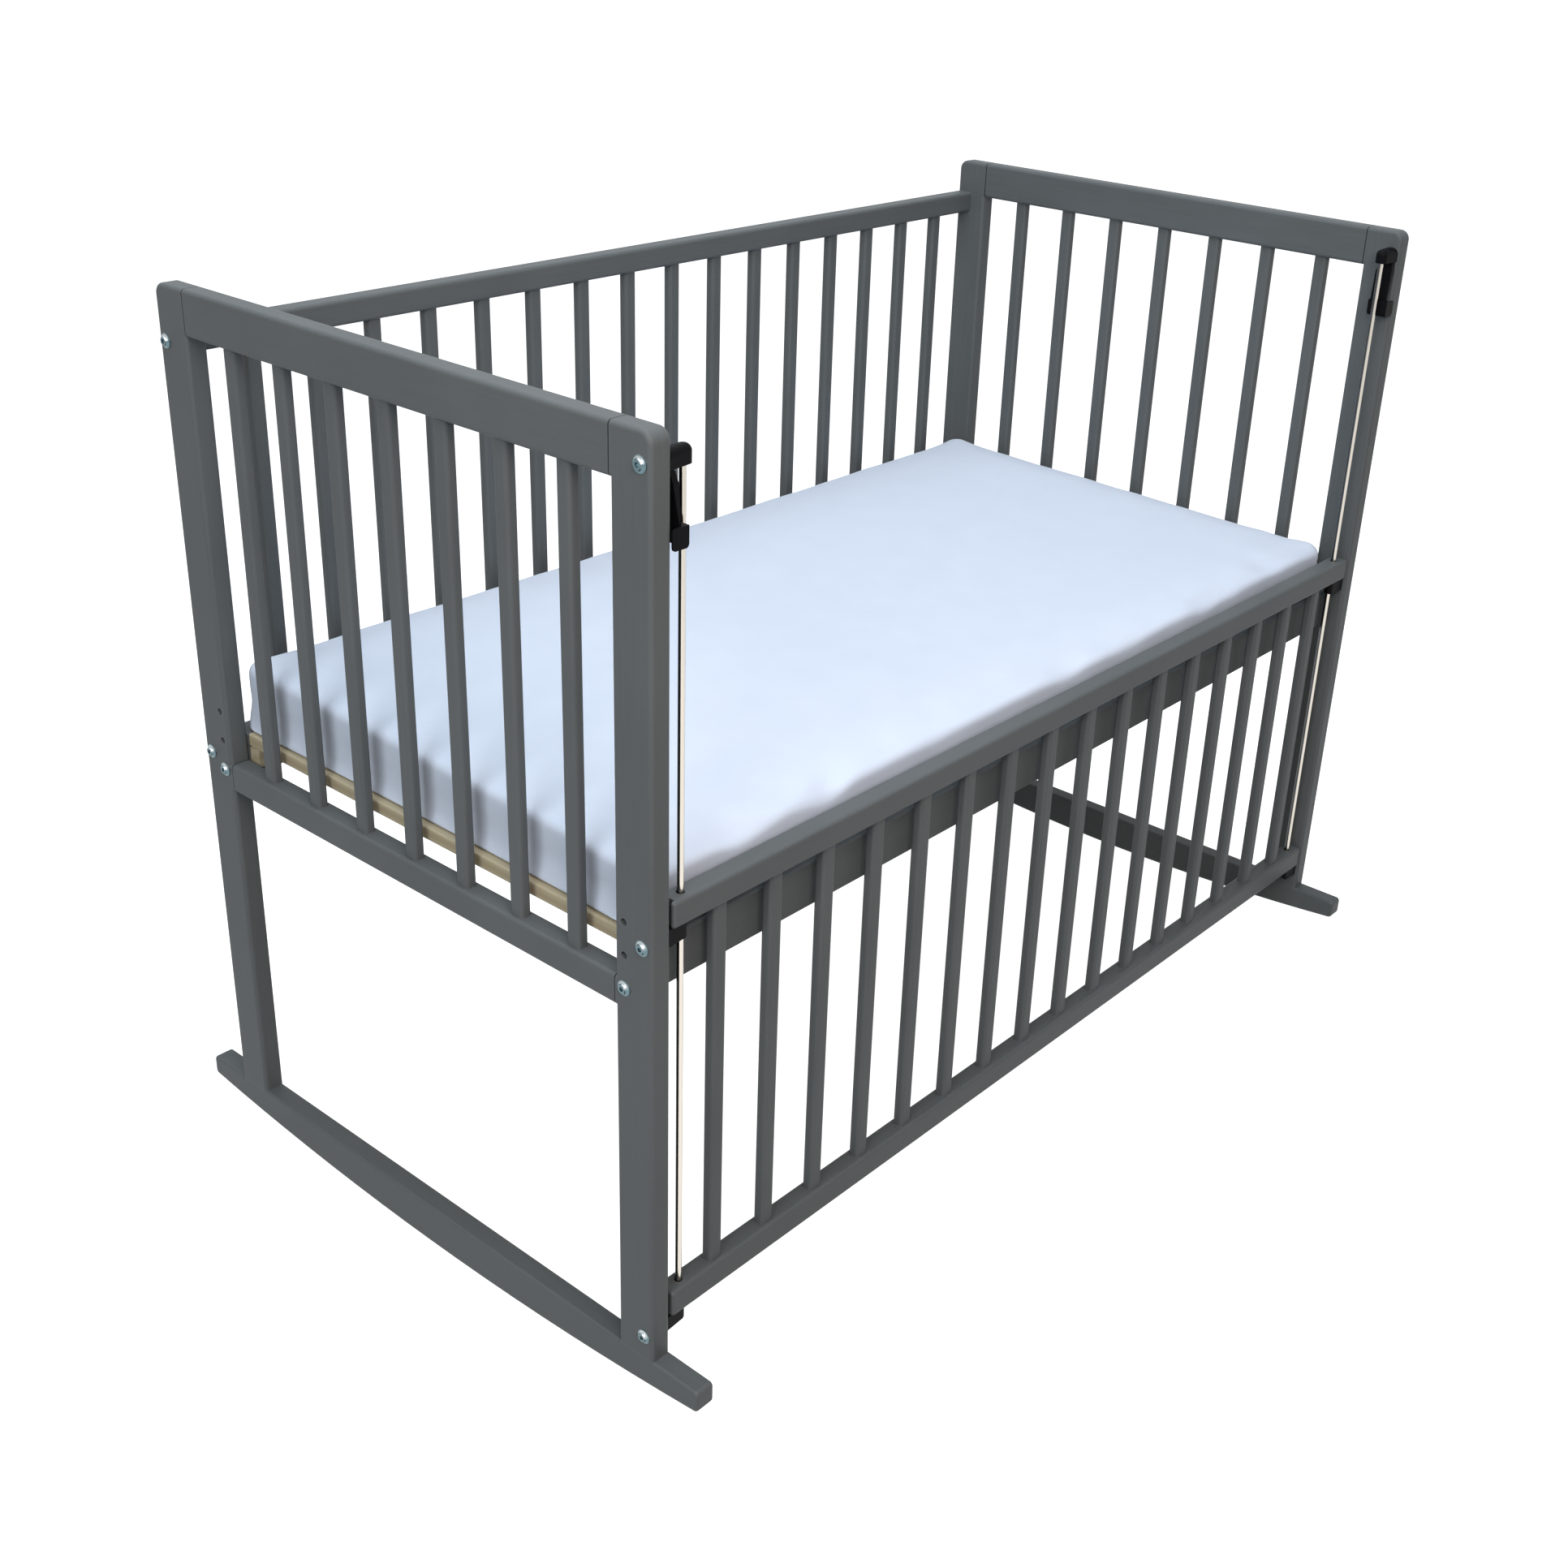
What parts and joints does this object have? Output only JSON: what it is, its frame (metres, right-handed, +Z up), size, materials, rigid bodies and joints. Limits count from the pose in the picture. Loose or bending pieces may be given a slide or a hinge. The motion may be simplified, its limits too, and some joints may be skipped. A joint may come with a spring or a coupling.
{
  "type": "bedside crib",
  "caption": "Slatted bedside cot on rockers with a drop side on guide rods, spring catches, a height-adjustable slatted base and a foam mattress.",
  "frame": {"origin": "on the floor, under the middle of the cot", "axes": "+X along the cot towards the end on the right in the picture, -Y out of the drop side, +Z up"},
  "size_m": [1.2512, 0.762, 0.926],
  "materials": {
    "grey_paint": "satin grey paint on solid timber",
    "pine": "raw pine",
    "beech": "raw beech",
    "rod_steel": "bright plated steel rod",
    "zinc_steel": "bright zinc plated steel",
    "black_plastic": "moulded black plastic, slight sheen",
    "mattress_cover": "white woven cotton cover"
  },
  "bodies": {
    "frame": {"back_base_board": "grey_paint", "back_bottom_rail": "grey_paint", "back_ledger": "pine", "back_ledger_screws": "zinc_steel", "back_slats": "grey_paint", "back_top_rail": "grey_paint", "base_dowels": "beech", "base_slats": "pine", "front_base_board": "grey_paint", "front_ledger": "pine", "front_ledger_screws": "zinc_steel", "left_back_post": "grey_paint", "left_base_bar": "pine", "left_base_bolts": "zinc_steel", "left_base_nuts": "zinc_steel", "left_bottom_bracket": "black_plastic", "left_bottom_rail": "grey_paint", "left_bracket_bolts": "zinc_steel", "left_end_dowels": "beech", "left_end_slats": "grey_paint", "left_front_post": "grey_paint", "left_guide_rod": "rod_steel", "left_middle_stop": "black_plastic", "left_panel_bolts": "zinc_steel", "left_panel_nuts": "zinc_steel", "left_rocker": "grey_paint", "left_top_bracket": "black_plastic", "left_top_rail": "grey_paint", "right_back_post": "grey_paint", "right_base_bar": "pine", "right_base_bolts": "zinc_steel", "right_base_nuts": "zinc_steel", "right_bottom_bracket": "black_plastic", "right_bottom_rail": "grey_paint", "right_bracket_bolts": "zinc_steel", "right_end_dowels": "beech", "right_end_slats": "grey_paint", "right_front_post": "grey_paint", "right_guide_rod": "rod_steel", "right_middle_stop": "black_plastic", "right_panel_bolts": "zinc_steel", "right_panel_nuts": "zinc_steel", "right_rocker": "grey_paint", "right_top_bracket": "black_plastic", "right_top_rail": "grey_paint"},
    "drop_side": {"drop_top_rail": "grey_paint", "drop_bottom_rail": "grey_paint", "drop_slats": "grey_paint"},
    "left_catch_arm": {"left_catch": "black_plastic"},
    "right_catch_arm": {"right_catch": "black_plastic"},
    "loose_mattress": {"mattress": "mattress_cover"}
  },
  "joints": [
    {"name": "drop_side_slide", "type": "slide", "parent": "frame", "child": "drop_side", "axis": [0, 0, 1], "range_m": [0, 0.3685], "deforming": ["left_catch", "right_catch"]},
    {"name": "left_catch_press", "type": "hinge", "parent": "frame", "child": "left_catch_arm", "pos_m": [-0.5979, -0.313, 0.894], "axis": [0, 1, 0], "range_deg": [0, 11.7], "stiffness_Nm_per_rad": 1.5},
    {"name": "right_catch_press", "type": "hinge", "parent": "frame", "child": "right_catch_arm", "pos_m": [0.5979, -0.313, 0.894], "axis": [0, -1, 0], "range_deg": [0, 11.7], "stiffness_Nm_per_rad": 1.5},
    {"name": "mattress_lift", "type": "slide", "parent": "frame", "child": "loose_mattress", "axis": [0, 0, 1], "range_m": [0, 0.46]}
  ]
}
